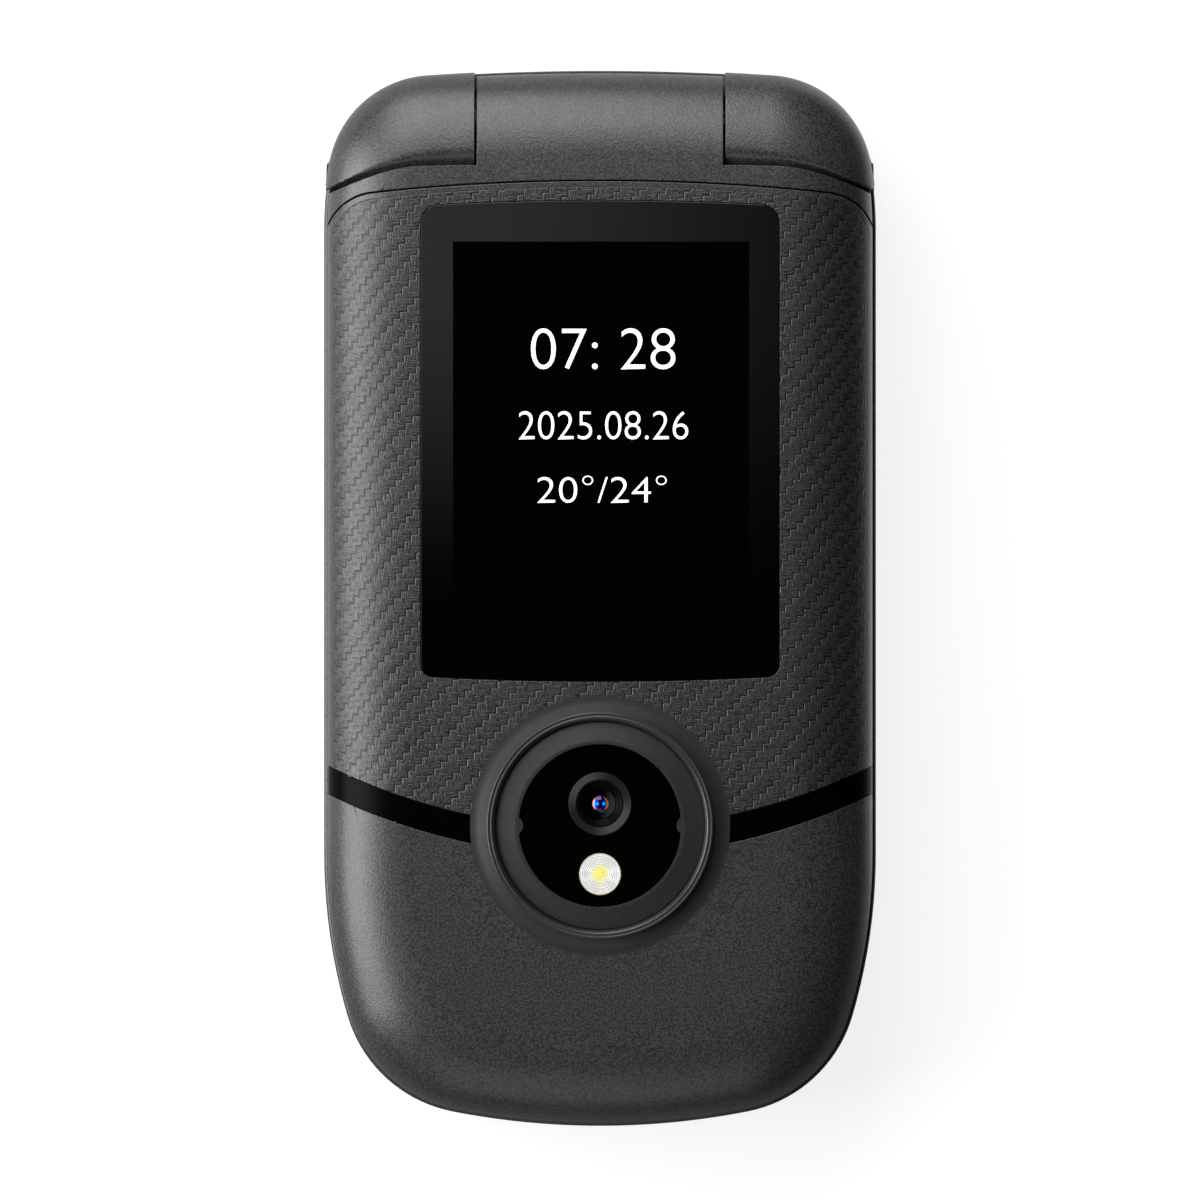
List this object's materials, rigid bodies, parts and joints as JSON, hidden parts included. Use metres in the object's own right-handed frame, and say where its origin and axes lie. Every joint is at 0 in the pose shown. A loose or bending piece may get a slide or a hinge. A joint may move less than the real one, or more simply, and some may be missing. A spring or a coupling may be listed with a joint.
{
  "type": "flip phone",
  "caption": "Closed clamshell phone with a domed lid, outer display window, round camera ring, curved stripe, knuckle hinge and keypad inside.",
  "frame": {"origin": "middle of the phone's box at the height of the face it rests on", "axes": "+X across the width, +Y along the length to the hinge, +Z from the battery cover up to the lid"},
  "size_m": [0.055, 0.1052, 0.0209],
  "materials": {
    "woven_shell": "dark grey plastic with a fine twill weave under a satin coat",
    "shell_plastic": "dark grey satin plastic with a fine grain",
    "gloss_black": "polished black",
    "ring_metal": "dark grey satin coat on metal",
    "trim_metal": "dark grey matt coat on metal",
    "window_black": "clear sheet with a black back",
    "lens_metal": "fine turned grooves",
    "camera_black": "matt black",
    "flash_clear": "clear moulded rings",
    "led_yellow": "yellow phosphor",
    "display_black": "dark panel",
    "circuit_board": "green solder resist",
    "steel": "plain steel",
    "rubber": "soft dark rubber",
    "flex_film": "amber film",
    "battery_wrap": "grey wrap",
    "silicone": "milky silicone",
    "key_plastic": "satin plastic",
    "call_plastic": "satin plastic with a green sign",
    "end_plastic": "satin plastic with a red sign"
  },
  "bodies": {
    "base": {"base_upper_housing": "shell_plastic", "base_lower_housing": "shell_plastic", "battery_cover": "shell_plastic", "battery": "battery_wrap", "main_board": "circuit_board", "shield_cans": "steel", "keypad_mat": "silicone", "usb_port": "steel", "headphone_jack": "camera_black", "loudspeaker": "steel", "vibration_motor": "steel", "sim_holder": "steel", "antenna": "flex_film", "base_screws": "steel", "hinge_pin": "steel", "hinge_bush": "steel", "hinge_flex": "flex_film"},
    "lid": {"lid_front_cover": "woven_shell", "lid_inner_housing": "shell_plastic", "stripe_inlay": "gloss_black", "camera_bezel": "ring_metal", "camera_trim": "trim_metal", "camera_window": "window_black", "lens_ring": "lens_metal", "camera_module": "camera_black", "flash_lens": "flash_clear", "flash_led": "led_yellow", "outer_window": "window_black", "outer_display": "display_black", "lid_board": "circuit_board", "earpiece": "steel", "inner_window": "window_black", "inner_display": "display_black", "lid_bumpers": "rubber", "lid_screws": "steel", "lid_magnet": "steel", "hinge_cartridge": "steel"},
    "key_1": {"key_1": "key_plastic"},
    "key_2": {"key_2": "key_plastic"},
    "key_3": {"key_3": "key_plastic"},
    "key_4": {"key_4": "key_plastic"},
    "key_5": {"key_5": "key_plastic"},
    "key_6": {"key_6": "key_plastic"},
    "key_7": {"key_7": "key_plastic"},
    "key_8": {"key_8": "key_plastic"},
    "key_9": {"key_9": "key_plastic"},
    "key_star": {"key_star": "key_plastic"},
    "key_0": {"key_0": "key_plastic"},
    "key_hash": {"key_hash": "key_plastic"},
    "call_key": {"call_key": "call_plastic"},
    "end_key": {"end_key": "end_plastic"},
    "clear_key": {"clear_key": "key_plastic"},
    "left_soft_key": {"left_soft_key": "key_plastic"},
    "right_soft_key": {"right_soft_key": "key_plastic"},
    "nav_up_key": {"nav_up_key": "key_plastic"},
    "nav_down_key": {"nav_down_key": "key_plastic"},
    "nav_left_key": {"nav_left_key": "key_plastic"},
    "nav_right_key": {"nav_right_key": "key_plastic"},
    "ok_key": {"ok_key": "key_plastic"},
    "volume_rocker": {"volume_rocker": "key_plastic"}
  },
  "joints": [
    {"name": "lid_hinge", "type": "hinge", "parent": "base", "child": "lid", "pos_m": [0, 0.047, 0.0145], "axis": [-1, 0, 0], "range_deg": [0, 160]},
    {"name": "key_1_press", "type": "slide", "parent": "base", "child": "key_1", "axis": [0, 0, -1], "range_m": [0, 0.0004], "stiffness_N_per_m": 400, "springref_m": -0.001},
    {"name": "key_2_press", "type": "slide", "parent": "base", "child": "key_2", "axis": [0, 0, -1], "range_m": [0, 0.0004], "stiffness_N_per_m": 400, "springref_m": -0.001},
    {"name": "key_3_press", "type": "slide", "parent": "base", "child": "key_3", "axis": [0, 0, -1], "range_m": [0, 0.0004], "stiffness_N_per_m": 400, "springref_m": -0.001},
    {"name": "key_4_press", "type": "slide", "parent": "base", "child": "key_4", "axis": [0, 0, -1], "range_m": [0, 0.0004], "stiffness_N_per_m": 400, "springref_m": -0.001},
    {"name": "key_5_press", "type": "slide", "parent": "base", "child": "key_5", "axis": [0, 0, -1], "range_m": [0, 0.0004], "stiffness_N_per_m": 400, "springref_m": -0.001},
    {"name": "key_6_press", "type": "slide", "parent": "base", "child": "key_6", "axis": [0, 0, -1], "range_m": [0, 0.0004], "stiffness_N_per_m": 400, "springref_m": -0.001},
    {"name": "key_7_press", "type": "slide", "parent": "base", "child": "key_7", "axis": [0, 0, -1], "range_m": [0, 0.0004], "stiffness_N_per_m": 400, "springref_m": -0.001},
    {"name": "key_8_press", "type": "slide", "parent": "base", "child": "key_8", "axis": [0, 0, -1], "range_m": [0, 0.0004], "stiffness_N_per_m": 400, "springref_m": -0.001},
    {"name": "key_9_press", "type": "slide", "parent": "base", "child": "key_9", "axis": [0, 0, -1], "range_m": [0, 0.0004], "stiffness_N_per_m": 400, "springref_m": -0.001},
    {"name": "key_star_press", "type": "slide", "parent": "base", "child": "key_star", "axis": [0, 0, -1], "range_m": [0, 0.0004], "stiffness_N_per_m": 400, "springref_m": -0.001},
    {"name": "key_0_press", "type": "slide", "parent": "base", "child": "key_0", "axis": [0, 0, -1], "range_m": [0, 0.0004], "stiffness_N_per_m": 400, "springref_m": -0.001},
    {"name": "key_hash_press", "type": "slide", "parent": "base", "child": "key_hash", "axis": [0, 0, -1], "range_m": [0, 0.0004], "stiffness_N_per_m": 400, "springref_m": -0.001},
    {"name": "call_key_press", "type": "slide", "parent": "base", "child": "call_key", "axis": [0, 0, -1], "range_m": [0, 0.0004], "stiffness_N_per_m": 400, "springref_m": -0.001},
    {"name": "end_key_press", "type": "slide", "parent": "base", "child": "end_key", "axis": [0, 0, -1], "range_m": [0, 0.0004], "stiffness_N_per_m": 400, "springref_m": -0.001},
    {"name": "clear_key_press", "type": "slide", "parent": "base", "child": "clear_key", "axis": [0, 0, -1], "range_m": [0, 0.0004], "stiffness_N_per_m": 400, "springref_m": -0.001},
    {"name": "left_soft_key_press", "type": "slide", "parent": "base", "child": "left_soft_key", "axis": [0, 0, -1], "range_m": [0, 0.0004], "stiffness_N_per_m": 400, "springref_m": -0.001},
    {"name": "right_soft_key_press", "type": "slide", "parent": "base", "child": "right_soft_key", "axis": [0, 0, -1], "range_m": [0, 0.0004], "stiffness_N_per_m": 400, "springref_m": -0.001},
    {"name": "nav_up_key_press", "type": "slide", "parent": "base", "child": "nav_up_key", "axis": [0, 0, -1], "range_m": [0, 0.0004], "stiffness_N_per_m": 400, "springref_m": -0.001},
    {"name": "nav_down_key_press", "type": "slide", "parent": "base", "child": "nav_down_key", "axis": [0, 0, -1], "range_m": [0, 0.0004], "stiffness_N_per_m": 400, "springref_m": -0.001},
    {"name": "nav_left_key_press", "type": "slide", "parent": "base", "child": "nav_left_key", "axis": [0, 0, -1], "range_m": [0, 0.0004], "stiffness_N_per_m": 400, "springref_m": -0.001},
    {"name": "nav_right_key_press", "type": "slide", "parent": "base", "child": "nav_right_key", "axis": [0, 0, -1], "range_m": [0, 0.0004], "stiffness_N_per_m": 400, "springref_m": -0.001},
    {"name": "ok_key_press", "type": "slide", "parent": "base", "child": "ok_key", "axis": [0, 0, -1], "range_m": [0, 0.0004], "stiffness_N_per_m": 400, "springref_m": -0.001},
    {"name": "volume_rocker_tilt", "type": "hinge", "parent": "base", "child": "volume_rocker", "pos_m": [-0.0263, 0.02, 0.0078], "axis": [0, 0, 1], "range_deg": [-1.5, 1.5], "stiffness_Nm_per_rad": 0.05}
  ]
}
